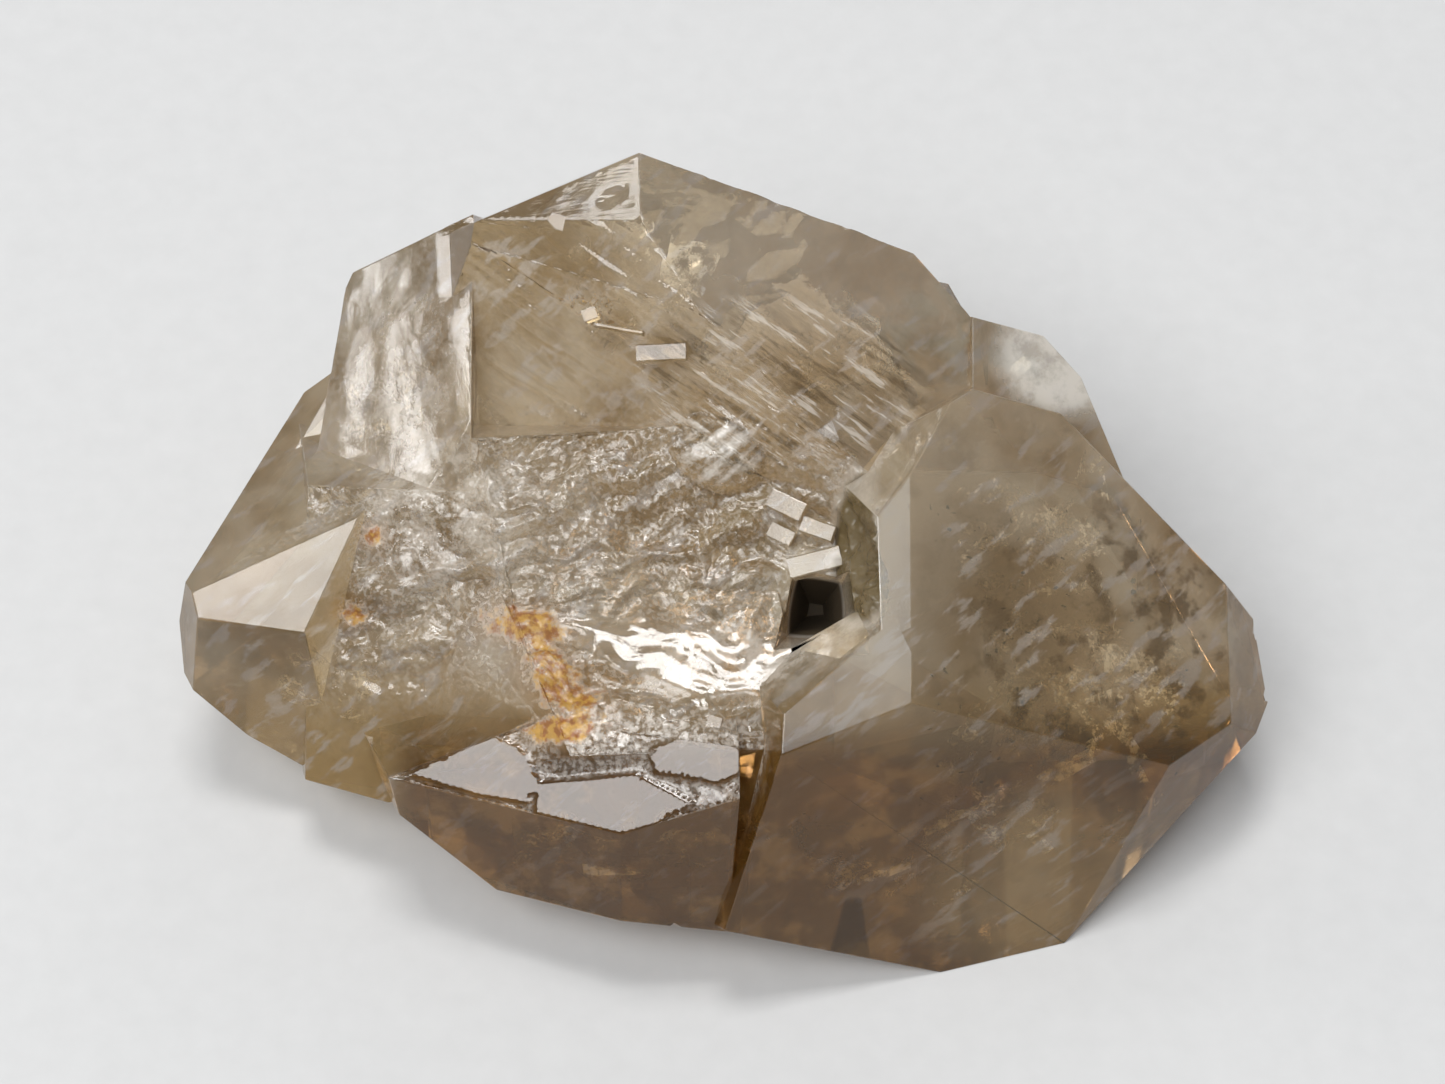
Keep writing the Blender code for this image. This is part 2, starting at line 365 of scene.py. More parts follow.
for _ in range(CHIPS):
    edge = chance.choice(edges)
    spot = edge.verts[0].co.lerp(edge.verts[1].co, chance.uniform(0.08, 0.92))
    out = (edge.link_faces[0].normal + edge.link_faces[1].normal).normalized()
    size = chance.uniform(0.25, 0.7)
    small_block(chips, spot + out * size * 0.40, (size * 1.6, size, size),
                math.degrees(math.atan2(out.y, out.x)) + chance.uniform(-25, 25),
                math.degrees(math.acos(out.z)) + chance.uniform(-18, 18), chance.uniform(0, 90))
skin = boolean(skin, chips, "DIFFERENCE")
print("closed after ledges and chips:", all(e.is_manifold for e in skin.edges), len(skin.faces))

# %% Dissolve to whole crystal faces and tag the named ones
FLAT_WITHIN, FACING_WITHIN, PLANE_WITHIN = math.radians(0.4), math.radians(0.8), 0.05
bmesh.ops.dissolve_limit(skin, angle_limit=FLAT_WITHIN, verts=skin.verts[:], edges=skin.edges[:])
face_tag = skin.faces.layers.int.new("crystal_face")
skin.faces.ensure_lookup_table()
for face in skin.faces:
    for name, (corner, azimuth, tilt) in FACES.items():
        normal = leaning(azimuth, tilt)
        on_plane = abs(normal.dot(face.calc_center_median() - Vector(corner))) < PLANE_WITHIN
        if face.normal.dot(normal) > math.cos(FACING_WITHIN) and on_plane:
            face[face_tag] = FACE_CODE[name]
found = {name: round(sum(f.calc_area() for f in skin.faces if f[face_tag] == code), 1)
         for name, code in FACE_CODE.items()}
print("closed:", all(e.is_manifold for e in skin.edges), "faces:", len(skin.faces))
print("area of each crystal face in mm2:", found)

# %% [markdown]
# ## Worn edges
# A crystal's edges are crisp but never perfectly sharp, and the thin bright line along each one is
# what makes glass look real. Only long, convex edges get a bevel of a few hundredths of a millimetre.

# %% Bevel the long edges
EDGE_WEAR, WORN_LENGTH, WORN_ANGLE = 0.045, 0.9, 14
worn = [e for e in skin.edges if e.is_convex and e.calc_length() > WORN_LENGTH
        and math.degrees(e.calc_face_angle(0)) > WORN_ANGLE]
bmesh.ops.bevel(skin, geom=worn, offset=EDGE_WEAR, offset_type="OFFSET", segments=2, profile=0.5,
                affect="EDGES", material=-1, clamp_overlap=False)
bmesh.ops.remove_doubles(skin, verts=skin.verts[:], dist=1e-4)
bmesh.ops.dissolve_degenerate(skin, edges=skin.edges[:], dist=1e-4)
print("worn edges:", len(worn), "closed:", all(e.is_manifold for e in skin.edges), len(skin.faces))

# %% [markdown]
# ## A finer mesh only where the stone is rough
# The glossy faces stay single flat faces. The hollow, the streaked face, the hillocky top and the
# flank are split again and again until no edge is over about a fifth of a millimetre, so that the
# relief can be real geometry there.

# %% Refine chosen faces
def refine(names, length):
    """Splits the named faces until no edge of theirs is over a length."""
    codes = {FACE_CODE[name] for name in names}
    while True:
        faces = [f for f in skin.faces if f[face_tag] in codes]
        bmesh.ops.triangulate(skin, faces=[f for f in faces if len(f.verts) > 3],
                              quad_method="SHORT_EDGE", ngon_method="BEAUTY")
        faces = [f for f in skin.faces if f[face_tag] in codes]
        long_edges = list({e for f in faces for e in f.edges if e.calc_length() > length})
        if not long_edges:
            break
        bmesh.ops.subdivide_edges(skin, edges=long_edges, cuts=1)


ROUGH = ("bed", "bed_left", "rim", "wall", "front_back", "slope")
LIVELY = ("streaked", "upper_front", "upper_top", "upper_left", "flank", "flank_low", "front_bright")
LONGEST_EDGE = 0.21
refine(ROUGH + LIVELY, LONGEST_EDGE)
print("faces after refining:", len(skin.faces))

# %% [markdown]
# ## Relief, in real geometry
# Acid ate the hollow into wavy terraces, the upper crystal grew three-sided hillocks on its top face,
# its streaked face has ribs, the flank undulates softly and the front crystal's bright face has
# scaled off round three smooth plates. Each is a height in mm, worked out for every corner
# of the fine mesh at once, and pushed along the corner's normal. Corners on the border of the fine
# mesh stay put, so the flat faces beside it stay flat.

# %% Noise and shapes as heights
def murmur(points, scale, octaves=3, seed=0.0):
    """Fractal noise of about -1 to 1 at each point."""
    scaled = points * np.array(scale) + seed
    return np.array([noise.fractal(Vector(p), 0.9, 2.1, octaves) for p in scaled])


def smooth_step(value, start, end):
    t = np.clip((value - start) / (end - start), 0, 1)
    return t * t * (3 - 2 * t)


def terraces(points):
    """Etched steps: levels with short scarps between them, drawn out along the group and swirled."""
    swirl = np.stack([murmur(points, (0.35, 0.35, 0.35), 2, seed) for seed in (3.0, 5.0, 7.0)], 1)
    points = points + 1.1 * swirl
    wave = murmur(points, (0.30, 0.80, 0.5), 4)
    level = wave * 5.0
    step = np.floor(level) + smooth_step(level - np.floor(level), 0.70, 1.0)
    fine = murmur(points, (1.1, 2.6, 2.0), 3, 11.0)
    grit = murmur(points, (4.2, 6.0, 5.0), 2, 23.0)
    return 0.10 * step + 0.075 * fine + 0.016 * grit


def hillocks(points, count=90, seed=5):
    """Flat-sided three-cornered growth hills, all turned the same way."""
    chance = random.Random(seed)
    height = np.zeros(len(points))
    turns = [math.radians(a) for a in (68, 188, 308)]
    for _ in range(count):
        x, y = chance.uniform(-3.0, 9.0), chance.uniform(4.5, 14.5)
        radius = chance.uniform(0.25, 1.0) ** 1.4 * 1.5
        rise = radius * chance.uniform(0.07, 0.16)
        reach = np.max([(points[:, 0] - x) * math.cos(a) + (points[:, 1] - y) * math.sin(a)
                        for a in turns], axis=0)
        height = np.maximum(height, rise * np.clip(1 - reach / radius, 0, 0.75))
    return height


def dome(points, centre, radii, spin, rise):
    """A pebble-like lump with a steep rim."""
    dx, dy = points[:, 0] - centre[0], points[:, 1] - centre[1]
    c, s = math.cos(math.radians(spin)), math.sin(math.radians(spin))
    r2 = ((dx * c + dy * s) / radii[0]) ** 2 + ((dy * c - dx * s) / radii[1]) ** 2
    return rise * np.sqrt(np.clip(1 - r2, 0, 1))


def inside_plate(points, outline):
    """Distance into a convex outline, in millimetres: above 0 inside, below 0 outside."""
    reach = []
    for (ax, ay), (bx, by) in zip(outline, outline[1:] + outline[:1]):
        length = math.hypot(bx - ax, by - ay)
        reach.append(((points[:, 0] - ax) * (ay - by) + (points[:, 1] - ay) * (bx - ax)) / length)
    return np.min(reach, axis=0)


LUMP = (-0.2, 4.0), (1.8, 1.25), -25, 0.85    # the pebble-like lump: centre, radii, spin, rise
BRIGHT_BAND = [(-5.8, -1.9), (-4.6, -2.9), (-2.9, -4.0), (-0.8, -4.8), (3.2, -4.4), (3.8, -2.8),
               (-2.8, -1.9)]                 # smoother scarp along the hollow's near side
PLATES = [  # smooth plates left on the front crystal's bright face, counter-clockwise
    [(-10.9, -7.3), (-8.6, -7.95), (-6.9, -8.2), (-6.55, -7.4), (-7.1, -6.45), (-7.9, -6.05)],
    [(-6.45, -7.65), (-6.5, -8.6), (-3.4, -9.4), (-1.2, -8.2), (-3.0, -7.3)],
    [(-2.5, -6.4), (-2.3, -7.1), (-0.2, -7.4), (1.3, -6.7), (1.9, -5.6), (0.5, -5.3)],
]

PLATE_SPREAD = 0.10


def plates(points):
    return np.max([inside_plate(points, outline) for outline in PLATES], axis=0)


print("relief shapes ready;", len(PLATES), "plates")

# %% Push the fine mesh into relief
RIB_HEADING = 0.6                             # radians below the X axis
PINNED_RINGS = 4                              # rings of corners over which relief fades to nothing


def relief(name, points):
    """Height in mm and how etched (0 glossy to 1 rough) each point of the named face is."""
    none = np.zeros(len(points))
    if name in ("bed", "bed_left", "rim", "wall", "front_back"):
        lump = dome(points, *LUMP)
        band = smooth_step(inside_plate(points, BRIGHT_BAND), -0.25, 0.35)
        calm = (1 - 0.86 * band) * (1 - 0.6 * np.minimum(1, lump * 2))
        return terraces(points) * calm + lump, 1 - 0.75 * band
    if name == "slope":
        near = smooth_step(points[:, 1], -6.5, -2.0)
        return terraces(points) * near * 0.8 + 0.05 * murmur(points, (0.5, 0.5, 0.5)), near
    if name in ("streaked", "upper_front"):
        along = points[:, 0] * math.cos(RIB_HEADING) - points[:, 1] * math.sin(RIB_HEADING)
        across = points[:, 0] * math.sin(RIB_HEADING) + points[:, 1] * math.cos(RIB_HEADING)
        ribs = murmur(np.stack([along * 0.25, across * 2.4, none], 1), (1, 1, 1), 3, 3.0)
        lump = dome(points, *LUMP)
        low = smooth_step(-points[:, 1], -6.5, -4.0)
        share = 1.0 if name == "streaked" else 0.45
        return share * 0.13 * ribs + lump + low * 0.6 * terraces(points), 0.25 * share + 0.6 * low
    if name == "upper_top":
        return hillocks(points) + 0.012 * murmur(points, (2, 2, 2)), none + 0.1
    if name == "upper_left":
        dimple = dome(points, (-3.9, 12.9), (0.5, 0.22), 15, -0.12)
        return dimple + 0.004 * murmur(points, (0.9, 0.9, 0.9)), none
    if name in ("flank", "flank_low"):
        swell = 0.13 * murmur(points, (0.40, 0.30, 0.4), 1, 40.0)
        return swell + 0.012 * murmur(points, (1.2, 0.9, 1.2), 2, 9.0), none + 0.45
    depth = plates(points) + PLATE_SPREAD                     # the front crystal's bright face
    bare = smooth_step(-depth, 0.0, 0.10)
    ragged = 0.05 * murmur(points, (1.8, 2.6, 2.0), 3, 17.0)
    return bare * (ragged - 0.14), bare * 0.6


etch = skin.verts.layers.float.new("etch")
code_name = {code: name for name, code in FACE_CODE.items() if name in ROUGH + LIVELY}
fine = {}                                                     # vertex -> the faces' names round it
for face in skin.faces:
    if face[face_tag] in code_name:
        for vertex in face.verts:
            fine.setdefault(vertex, set()).add(code_name[face[face_tag]])
pinned = {v for v in fine if any(f[face_tag] not in code_name for f in v.link_faces)}
rings = dict.fromkeys(pinned, 0)
front = pinned
for ring in range(1, PINNED_RINGS + 1):
    front = {e.other_vert(v) for v in front for e in v.link_edges} & set(fine) - set(rings)
    rings.update(dict.fromkeys(front, ring))

moves = {}
for name in ROUGH + LIVELY:
    mine = [v for v, names in fine.items() if name in names]
    if mine:
        heights, etched = relief(name, np.array([v.co[:] for v in mine]))
        for vertex, height, amount in zip(mine, heights, etched):
            moves.setdefault(vertex, []).append((height, amount))
skin.normal_update()
pushes = {}
for vertex, values in moves.items():
    height, amount = (sum(column) / len(values) for column in zip(*values))
    hold = rings.get(vertex, PINNED_RINGS + 1) / PINNED_RINGS
    pushes[vertex] = vertex.normal * height * min(1.0, hold)
    vertex[etch] = amount
for vertex, push in pushes.items():
    vertex.co += push
print("moved corners:", len(pushes), "deepest and highest in mm:",
      round(min(p.length for p in pushes.values()), 3), round(max(p.length for p in pushes.values()), 3))

# %% [markdown]
# ## Smoky quartz as a material
# The real stone is brown all through, but cloudy: light dies a little with depth, and clouds of tiny
# bubbles scatter some of it. So the main shader is mostly glass, with a plain absorbing volume, and
# its body colour drifts between honey, smoke and milk, with painted shade on the front and a partly
# painted glow on the rear crystal. A second, dull shader is the crust and painted shade: pale frost
# where acid etched the stone, on the hollow's scarp partly a painted highlight, rust where water
# stood, and near black painted shade down in the pit. How etched each spot is comes from the mesh,
# and drives the mix of the two, the roughness and a fine grit.

# %% Colours and places of the finish
PALE, SMOKE, DEEP = (0.86, 0.74, 0.53), (0.50, 0.365, 0.19), (0.17, 0.115, 0.045)
HONEY, FRONT_SHADE_HONEY, AMBER = (0.64, 0.44, 0.17), (0.15, 0.062, 0.0015), (0.62, 0.34, 0.09)
CLEAR, REAR_CLEAR_AND_GLOW = (0.98, 0.90, 0.74), (1.0, 0.96, 0.82)
# SHADE is painted shade: the near black that the pit gets for its shadow.
FROST, SHADE, OLIVE = (0.88, 0.83, 0.75), (0.05, 0.032, 0.012), (0.11, 0.08, 0.035)
RUST, OCHRE = (0.26, 0.085, 0.012), (0.50, 0.28, 0.05)
QUARTZ_IOR, SMOKE_TINT, SMOKE_DENSITY = 1.544, (0.62, 0.40, 0.16), 45.0
RUST_SPOTS = [  # centre and reach in the group's frame
    ((-7.4, -1.9, -2.6), (2.6, 1.2, 3.0)),
    ((-6.2, -3.3, -1.8), (1.7, 2.0, 3.0)),
    ((-4.9, -5.0, -0.9), (2.1, 2.0, 3.0)),
    ((-6.3, -5.8, -0.9), (2.0, 0.7, 2.0)),
    ((-13.2, -1.7, -5.0), (1.1, 0.9, 2.0)),
    ((-12.4, 1.1, -4.6), (0.8, 0.8, 2.0)),
]
MILKY_AND_HIGHLIGHT_SPOTS = [  # centre, reach and strength: hollow, flank, scarp
    ((-9.6, 1.8, -4.2), (4.5, 3.6, 4.0), 1.4),
    ((-11.5, 6.5, -5.0), (5.0, 5.0, 5.0), 0.7),
    # On the scarp the frost is partly a painted highlight, for the lamp's white reflection there.
    ((0.8, -3.4, -1.4), (4.8, 1.8, 3.0), 1.6),
]
print("rust spots:", len(RUST_SPOTS), "milky spots:", len(MILKY_AND_HIGHLIGHT_SPOTS))


# %% Patterns that the finish shares
def stone_patterns(quartz):
    """Noises and soft-edged regions, each about 0 to 1 over the stone."""
    place = quartz.place()

    def region(centre, radii, full):
        return quartz.spot(place, centre, radii).above(0.0, full)

    right = quartz.node("ShaderNodeSeparateXYZ", {}, {0: place}, out=0)
    up = quartz.node("ShaderNodeSeparateXYZ", {}, {0: place}, out=1)
    # The front's dark honey is painted shade; this corner is left lighter, as painted light.
    painted_light_corner = region((11.5, -11.0, -5.0), (6.0, 5.0, 6.0), 0.6)
    return SimpleNamespace(
        place=place,
        etched=quartz.node("ShaderNodeAttribute", {"attribute_name": "etch"}, out=2),
        drift=quartz.cloud(place, 0.17, 3.0, 0.6, 1.7),
        mottle=quartz.cloud(place, 0.95, 6.0, 0.64, 4.1),
        glow=quartz.cloud(place, 0.50, 6.0, 0.66, 15.0),
        wisps=quartz.cloud(quartz.streaked(place, (2.0, 0.55, 1.0), 38), 1.0, 4.0, 0.6, 8.0),
        ribs=quartz.cloud(quartz.streaked(place, (3.0, 0.38, 1.0), -35), 1.0, 4.0, 0.65, 12.0),
        grit=quartz.cloud(place, 5.0, 4.0, 0.65, 2.0),
        low_side=up.above(-2.5, -6.0),
        front=up.above(-4.6, -7.0) * right.above(-12.5, -10.5) * (1 - painted_light_corner * 0.8),
        cloudy=region((13.0, -3.4, -3.2), (7.5, 7.0, 8.0), 0.45),
        # A painted shade over part of the right crystal.
        painted_shade_zone=region((9.0, -2.4, 0.2), (4.6, 6.5, 3.2), 0.5),
        band=region((1.9, 6.4, -1.6), (6.2, 3.6, 4.0), 0.35),
        # The rear crystal is painted pale and frosted: partly its clearer quartz, partly a painted glow.
        rear=region((11.4, 7.4, -5.0), (3.5, 3.0, 3.3), 0.45),
        clear=region((3.0, 10.5, -2.2), (6.5, 4.0, 4.0), 0.6),
        scaled=region((-3.5, -7.2, -0.6), (7.5, 2.4, 3.0), 0.4),
        lump=region((-0.2, 4.0, -1.6), (2.0, 1.5, 2.5), 0.5))


def stain_reach(quartz, on):
    """How near each place is to the spots where rust sits."""
    reach = 0.0
    for centre, radii in RUST_SPOTS:
        reach = quartz.spot(on.place, centre, radii) + reach
    return reach.clamped()


print("patterns ready")


# %% Body colour and crust
def body_colour(quartz, on, rust_reach):
    """Smoke clouds, honey sides, dark mottles and milky wisps. The fronts get dark honey as painted
    shade, with a corner left lighter as painted light and amber patches painted as glows; part of the
    right crystal gets a painted shade, and the rear crystal's pale tone is partly a painted glow.
    """
    patches = on.mottle.above(0.48, 0.62) * (0.16 + on.cloudy * 0.58)
    milk = on.wisps.above(0.54, 0.64) * (0.60 - on.front * 0.50)
    body = quartz.mix(on.drift.above(0.40, 0.64), PALE, SMOKE)
    for share, tone in [
            # On the front, dark honey is painted shade and the amber patches are painted glows.
            (on.low_side * 0.75, HONEY), (on.front * 0.92, FRONT_SHADE_HONEY),
            (on.front * on.glow.above(0.48, 0.62) * 0.45, AMBER), (patches, DEEP),
            # Painted shade, darker over part of the right crystal.
            (on.painted_shade_zone * 0.42, DEEP), (on.band * on.ribs.above(0.50, 0.62) * 0.8, DEEP),
            # The rear crystal's pale tone is partly a painted glow.
            (on.rear * 0.9, REAR_CLEAR_AND_GLOW), (on.clear * 0.45, CLEAR), (milk, FROST),
            (rust_reach * 0.85, AMBER)]:
        body = quartz.mix(share, body, tone)
    return body


def frost_share(quartz, on):
    """Frost on etched spots, on milky places, between the ribs, on the lump and at the rear. On the
    hollow's scarp the frost is partly a painted highlight, and at the rear partly a painted glow.
    """
    # The rear's frost is partly a painted glow.
    milky_and_painted_light = on.rear * 1.2
    for centre, radii, strength in MILKY_AND_HIGHLIGHT_SPOTS:
        milky_and_painted_light = milky_and_painted_light + quartz.spot(on.place, centre, radii) * strength
    return (on.etched * on.grit.above(0.44, 0.60) * 0.14
            + milky_and_painted_light.clamped() * on.mottle.above(0.64, 0.40) * 0.26
            + on.band * on.ribs.above(0.46, 0.36) * 0.30
            + on.lump * on.wisps.above(0.42, 0.60) * 0.30
            # More frost at the rear, partly a painted glow.
            + on.rear * 0.22
            + on.scaled * on.etched * on.grit.above(0.28, 0.68) * 0.36)


print("body and frost ready")


# %% Smoky quartz
def smoky_quartz():
    quartz = Finish("smoky_quartz_glass")
    on = stone_patterns(quartz)
    rust_reach = stain_reach(quartz, on)
    body = body_colour(quartz, on, rust_reach)

    # Crust and painted shade: frost, rust in the low corners, an olive wall, and painted shade that makes
    # the pit dark.
    blots = quartz.cloud(on.place, 1.9, 6.0, 0.75, 5.0)
    stain = (rust_reach * 0.60 + blots - 0.76).above(0.0, 0.24)
    # The pit mask paints shade: near black down in the hole, where its shadow is.
    pit = quartz.spot(on.place, (3.4, -1.5, -5.6), (2.1, 2.2, 3.6)).above(0.05, 0.30)
    wall = quartz.spot(on.place, (5.2, 0.3, -1.6), (2.0, 4.4, 4.0)).above(0.10, 0.40) * on.etched
    rust_cloud = quartz.cloud(on.place, 2.6, 3.0, 0.6, 9.0).above(0.40, 0.60)
    crust_and_shade_tone = quartz.mix(stain, FROST, quartz.mix(rust_cloud, RUST, OCHRE))
    crust_and_shade_tone = quartz.mix(wall, crust_and_shade_tone, OLIVE)
    crust_and_shade_tone = quartz.mix(pit, crust_and_shade_tone, SHADE)
    crust_and_shade_share = (frost_share(quartz, on) + stain * 0.62 + wall * 0.80 + pit * 0.98).clamped()

    # Gloss: dust and etching dull it, grit and fine growth lines break the highlights up.
    dust = quartz.cloud(on.place, 9.0, 2.0, 0.5, 6.0).above(0.60, 0.70)
    roughness = 0.035 + on.etched * 0.09 + dust * 0.08
    lines = quartz.cloud(quartz.streaked(on.place, (2.5, 0.14, 0.5), 5), 1.0, 3.0, 0.5, 3.0)
    height = on.etched * on.grit * 0.45 + lines * 0.05 + on.mottle * 0.03
    bump = quartz.node("ShaderNodeBump", {}, {"Strength": 0.4, "Distance": 0.00008, "Height": height})
    glass = quartz.node("ShaderNodeBsdfPrincipled", {}, {
        "Base Color": body, "Roughness": roughness, "IOR": QUARTZ_IOR, "Transmission Weight": 0.80,
        "Normal": bump})
    crust_and_shade_bsdf = quartz.node("ShaderNodeBsdfPrincipled", {}, {
        "Base Color": crust_and_shade_tone, "Roughness": 0.20 + stain * 0.25 + pit * 0.60, "IOR": QUARTZ_IOR,
        "Normal": bump})
    surface = quartz.node("ShaderNodeMixShader", {}, {0: crust_and_shade_share, 1: glass, 2: crust_and_shade_bsdf})
    smoke = quartz.node("ShaderNodeVolumeAbsorption", {}, {"Color": SMOKE_TINT, "Density": SMOKE_DENSITY})
    return quartz.end(surface, smoke)


stone_finish = smoky_quartz()
print("nodes in the stone's finish:", len(stone_finish.node_tree.nodes))

# %% [markdown]
# ## Veils, cracks and flakes inside
# Healed cracks leave curved veils of tiny bubbles, fresh ones flash like foil, and specks of other
# minerals float in the stone. Veils and cracks also carry a faint painted glow. Each veil is a fine
# grid, bent by noise and laid inside; any part of it that would come near the skin is taken away, so
# that nothing pokes out.

# %% Sheets inside the stone
shell = BVHTree.FromBMesh(skin)


def depth_inside(point):
    """How far inside the stone a point is, in millimetres; below 0 outside."""
    spot, normal, _, distance = shell.find_nearest(point)
    return distance if (point - spot).dot(normal) < 0 else -distance


def piece(name, bm, finish, smooth=True):
    """A finished piece inside the stone, from a bmesh in the group's frame."""
    bmesh.ops.transform(bm, matrix=TO_WORLD, verts=bm.verts[:])
    for face in bm.faces:
        face.smooth = smooth
    mesh = bpy.data.meshes.new(name)
    bm.to_mesh(mesh)
    bm.free()
    mesh.materials.append(finish)
    made = bpy.data.objects.new(name, mesh)
    bpy.context.scene.collection.objects.link(made)
    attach(made, "root")
    return made


def sheet(bm, centre, size, azimuth, tilt, spin, bend, cells=26):
    """A curved sheet inside the stone."""
    lean = leaning(azimuth, tilt).to_track_quat("Z", "Y").to_matrix().to_4x4()
    place = Matrix.Translation(centre) @ lean @ Matrix.Rotation(math.radians(spin), 4, "Z")
    grid = bmesh.ops.create_grid(bm, x_segments=cells, y_segments=cells, size=0.5,
                                 matrix=place @ Matrix.Diagonal((size[0], size[1], 1, 1)))
    out = leaning(azimuth, tilt)
    for vertex in grid["verts"]:
        vertex.co += out * bend * noise.fractal(vertex.co * 0.45, 0.9, 2.0, 3)


VEILS = [  # centre, size, lean azimuth, tilt, spin, bend
    ((11.5, -2.5, -3.4), (8.0, 6.0), 20, 32, 10, 1.2),
    ((13.5, -4.0, -4.6), (6.0, 5.0), 60, 55, 40, 1.0),
    ((9.8, -5.5, -2.4), (5.0, 5.0), -40, 62, 0, 1.2),
    ((10.5, 1.6, -4.0), (6.0, 5.0), 100, 60, 0, 1.4),
    ((8.5, -9.5, -4.6), (6.0, 4.0), -60, 62, 20, 1.1),
    ((3.0, -9.5, -3.6), (4.0, 4.0), -100, 66, -30, 1.1),
    ((-2.5, 9.0, -3.4), (7.0, 4.0), -140, 46, 0, 1.2),
    ((3.0, 8.0, -4.6), (7.0, 4.5), -120, 60, 30, 1.4),
    ((-12.0, 5.0, -6.8), (5.0, 5.0), 170, 55, 0, 1.0),
    ((-3.8, -9.6, -3.2), (7.0, 3.0), -90, 62, 0, 1.0),
    ((-14.0, -4.0, -6.8), (5.0, 3.5), -110, 56, 0, 0.9),
    ((0.5, 0.5, -5.5), (9.0, 6.0), 80, 30, 0, 1.4),
]
CRACKS = [
    ((12.9, -4.8, -2.9), (0.5, 2.6), 0, 60, 8, 0.3),
    ((13.9, -3.2, -3.0), (1.6, 1.1), 40, 40, 60, 0.4),
    ((11.2, -9.6, -4.4), (0.4, 1.8), -60, 60, 10, 0.3),
    ((12.0, -6.9, -2.9), (2.2, 0.7), -50, 30, -12, 0.3),
    ((-5.6, 6.8, -2.2), (1.3, 0.9), -120, 40, 0, 0.3),
    ((14.6, -7.0, -4.2), (0.5, 3.4), -20, 50, -28, 0.2),
    ((10.3, 7.0, -4.6), (0.5, 1.1), 20, 30, 20, 0.2),
    ((-6.6, 7.0, -2.3), (1.2, 1.6), -130, 30, 20, 0.3),
    ((-1.2, 10.5, -2.1), (1.8, 1.8), 40, 30, 30, 0.5),
    ((8.2, -8.6, -3.0), (2.6, 0.5), -70, 50, 8, 0.3),
    ((5.6, -10.6, -3.4), (2.0, 0.4), -70, 50, -6, 0.3),
    ((-3.6, -10.4, -2.4), (2.4, 0.5), -90, 60, 5, 0.3),
]


def kept_inside(bm, margin):
    """Takes away what isn't at least the margin inside the stone."""
    outside = [v for v in bm.verts if depth_inside(v.co) < margin]
    bmesh.ops.delete(bm, geom=outside, context="VERTS")


VEIL_MARGIN, SMALL_MARGIN, CRACK_CELLS = 0.25, 0.12, 32
veil_mesh = bmesh.new()
for veil in VEILS:
    sheet(veil_mesh, *veil)
kept_inside(veil_mesh, VEIL_MARGIN)
crack_mesh = bmesh.new()
for crack in CRACKS:
    sheet(crack_mesh, *crack, cells=CRACK_CELLS)
kept_inside(crack_mesh, SMALL_MARGIN)
print("veil faces:", len(veil_mesh.faces), "crack faces:", len(crack_mesh.faces))

# %% Finishes of the veils and the cracks
BUBBLE_PALE, BUBBLE_BROWN = (0.85, 0.80, 0.72), (0.30, 0.23, 0.14)


def veil_finish():
    """Clouds of pale bubbles, clear between them. They glow a little, in place of the lamp light
    that finds its way in through the stone's skin."""
    veil = Finish("bubble_veil")
    place = veil.place()
    blots = veil.cloud(place, 0.7, 5.0, 0.7, 2.0).above(0.46, 0.62)
    dots = veil.cloud(place, 5.0, 2.0, 0.6, 4.0).above(0.42, 0.60)
    brown = veil.cloud(place, 0.4, 2.0, 0.5, 7.0).above(0.42, 0.6)
    tone = veil.mix(brown, BUBBLE_PALE, BUBBLE_BROWN)
    shader = veil.node("ShaderNodeBsdfPrincipled", {}, {
        "Base Color": tone, "Roughness": 0.35, "Alpha": blots * dots * 0.95,
        "Emission Color": tone, "Emission Strength": 0.12})
    return veil.end(shader)


def crack_finish():
    """A fresh crack's foil-like flash, with a painted glow in place of the lamp light that finds its way
    in through the stone's skin.
    """
    crack = Finish("open_crack")
    ragged = crack.cloud(crack.place(), 1.5, 5.0, 0.7, 3.0).above(0.42, 0.60)
    shader = crack.node("ShaderNodeBsdfPrincipled", {}, {
        "Base Color": (0.95, 0.90, 0.82), "Roughness": 0.18, "Metallic": 0.3,
        # The emission is a painted glow.
        "Alpha": ragged * 0.85, "Emission Color": (0.95, 0.88, 0.76), "Emission Strength": 0.18})
    return crack.end(shader)


piece("bubble_veils", veil_mesh, veil_finish())
piece("open_cracks", crack_mesh, crack_finish())


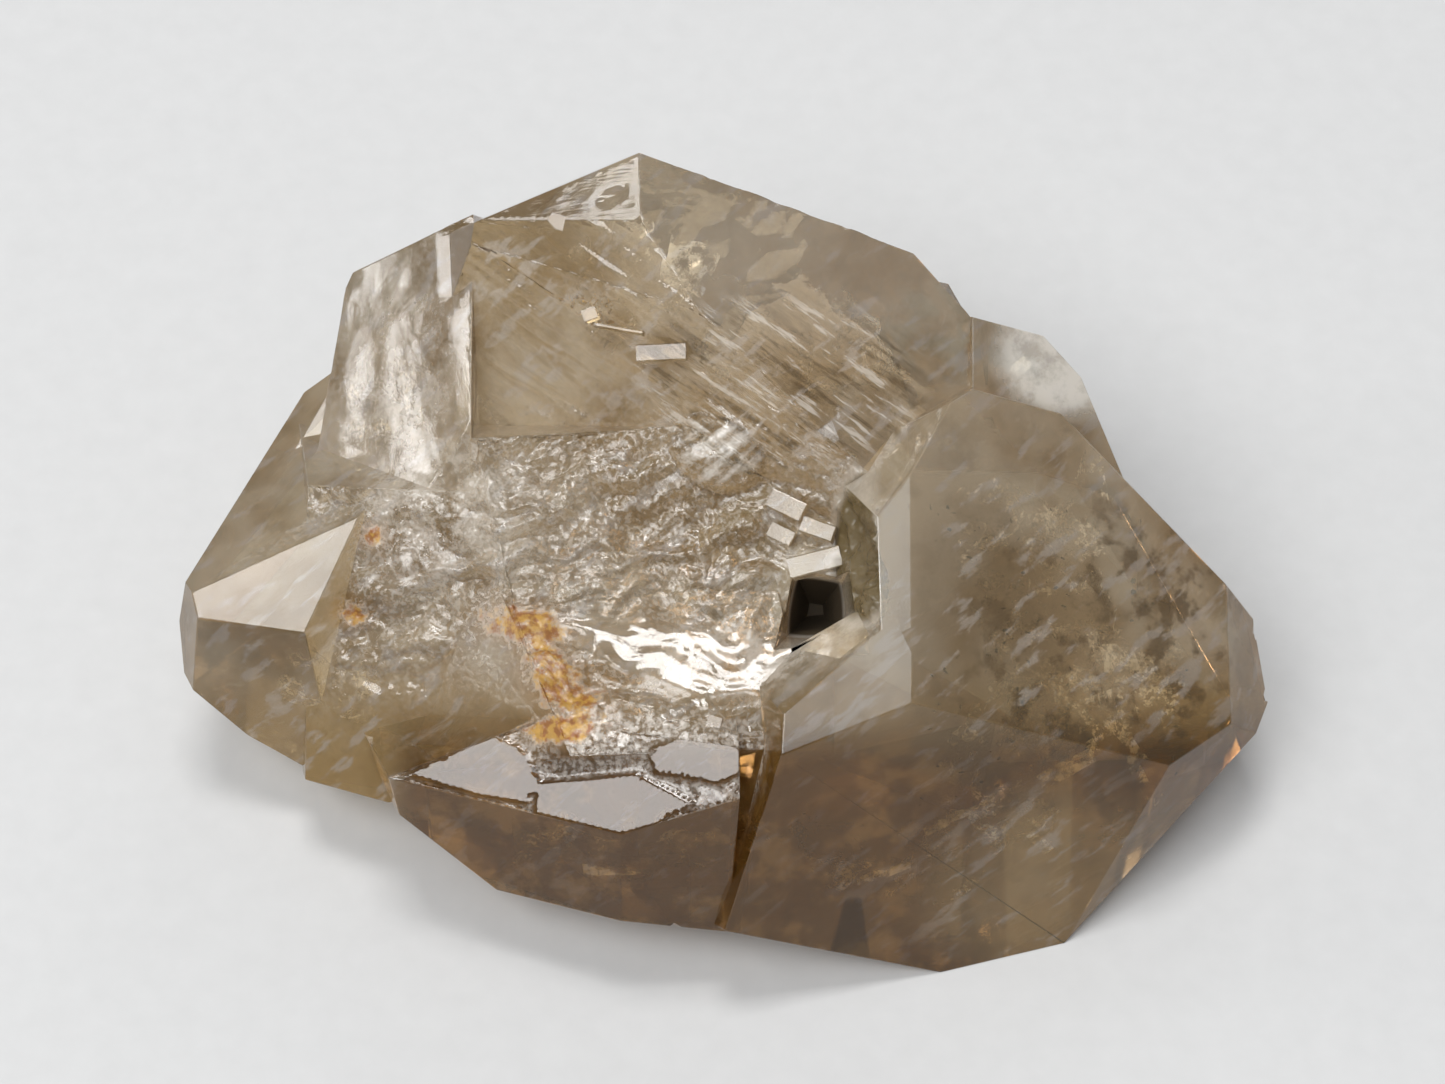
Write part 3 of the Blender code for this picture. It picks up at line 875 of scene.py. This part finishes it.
# %% Flakes
def flakes(centre, reach, count, size, seed):
    """Small flat grains scattered round a centre, each well inside the stone."""
    bm = bmesh.new()
    chance = random.Random(seed)
    while count:
        spot = Vector([c + chance.uniform(-r, r) for c, r in zip(centre, reach)])
        turned = Matrix.Rotation(chance.uniform(0, 3), 4, "X")
        turned = turned @ Matrix.Rotation(chance.uniform(0, 3), 4, "Y")
        grow = size * chance.uniform(0.4, 1.3)
        if depth_inside(spot) > SMALL_MARGIN + grow:
            flat = Matrix.Diagonal((grow, grow * chance.uniform(0.4, 1), grow * 0.15, 1))
            bmesh.ops.create_icosphere(bm, subdivisions=1, radius=1.0,
                                       matrix=Matrix.Translation(spot) @ turned @ flat)
            count -= 1
    return bm


def speck_finish(name, tone, metallic):
    """A grain's own colour, darker in places."""
    speck = Finish(name)
    shade = speck.cloud(speck.place(), 4.0, 2.0)
    colour = speck.mix(shade, tuple(c * 0.6 for c in tone), tone)
    return speck.end(speck.node("ShaderNodeBsdfPrincipled", {}, {
        "Base Color": colour, "Roughness": 0.3, "Metallic": metallic}))


piece("gold_brown_flakes", flakes((-6.2, 7.2, -2.0), (2.4, 2.4, 1.0), 40, 0.14, 3),
      speck_finish("gold_brown_flake", (0.80, 0.52, 0.16), 0.5), False)
piece("dark_specks", flakes((11.5, -3.0, -3.6), (5.0, 5.0, 2.2), 110, 0.11, 4),
      speck_finish("dark_speck", (0.05, 0.045, 0.03), 0.0), False)

# %% [markdown]
# ## The finished stone
# The fine relief is shaded smooth and the flat crystal faces stay flat, with a hard edge wherever two
# faces meet at more than 30 degrees. The stone takes the place of the part's plain solid.

# %% Shade, place and finish
HARD_EDGE_ANGLE = 30
for face in skin.faces:
    face.smooth = face[face_tag] in code_name
for edge in skin.edges:
    edge.smooth = edge.is_manifold and math.degrees(edge.calc_face_angle(0)) < HARD_EDGE_ANGLE
stone_mesh = bpy.data.meshes.new("smoky_quartz_group")
bmesh.ops.transform(skin, matrix=TO_WORLD, verts=skin.verts[:])
skin.to_mesh(stone_mesh)
stone = bpy.data.objects.new("smoky_quartz_group", stone_mesh)
bpy.context.scene.collection.objects.link(stone)
stone_mesh.materials.append(stone_finish)
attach(stone, "root")
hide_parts("quartz_crystal")
print("stone triangles:", sum(len(p.vertices) - 2 for p in stone_mesh.polygons))
